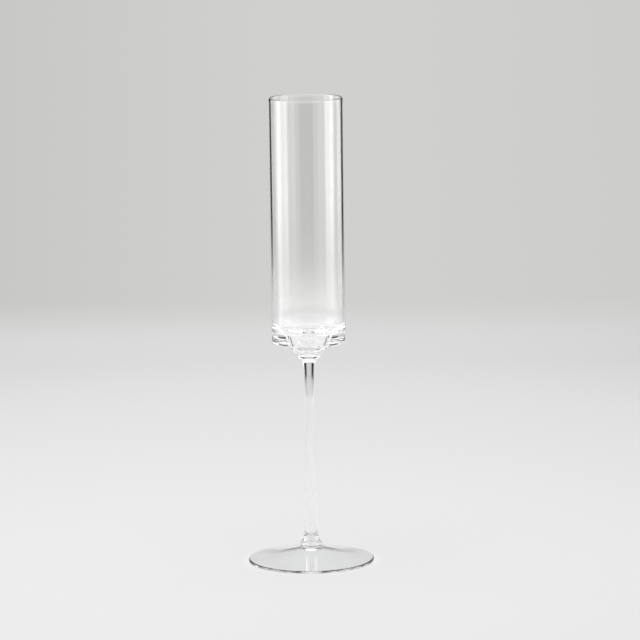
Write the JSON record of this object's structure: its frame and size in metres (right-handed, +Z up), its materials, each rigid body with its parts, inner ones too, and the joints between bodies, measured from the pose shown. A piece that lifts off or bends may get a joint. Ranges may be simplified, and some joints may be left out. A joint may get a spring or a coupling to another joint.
{
  "type": "champagne flute",
  "caption": "Straight-sided champagne flute: tall clear bowl with a thick base, slender waisted stem with a flared drop, and a wide shallow-cone foot.",
  "frame": {"origin": "centre of the circle that the foot rests on, at table height", "axes": "+Z up along the glass's axis of revolution, from the foot to the rim; +X and +Y are interchangeable"},
  "size_m": [0.072, 0.072, 0.267],
  "materials": {
    "bowl_glass": "clear, fire-polished, no tint",
    "stem_glass": "clear, drawn and fire-polished",
    "foot_glass": "clear, spun, with a very faint cool tint at the edge"
  },
  "bodies": {
    "root": {"bowl": "bowl_glass", "stem": "stem_glass", "foot": "foot_glass"}
  },
  "joints": []
}
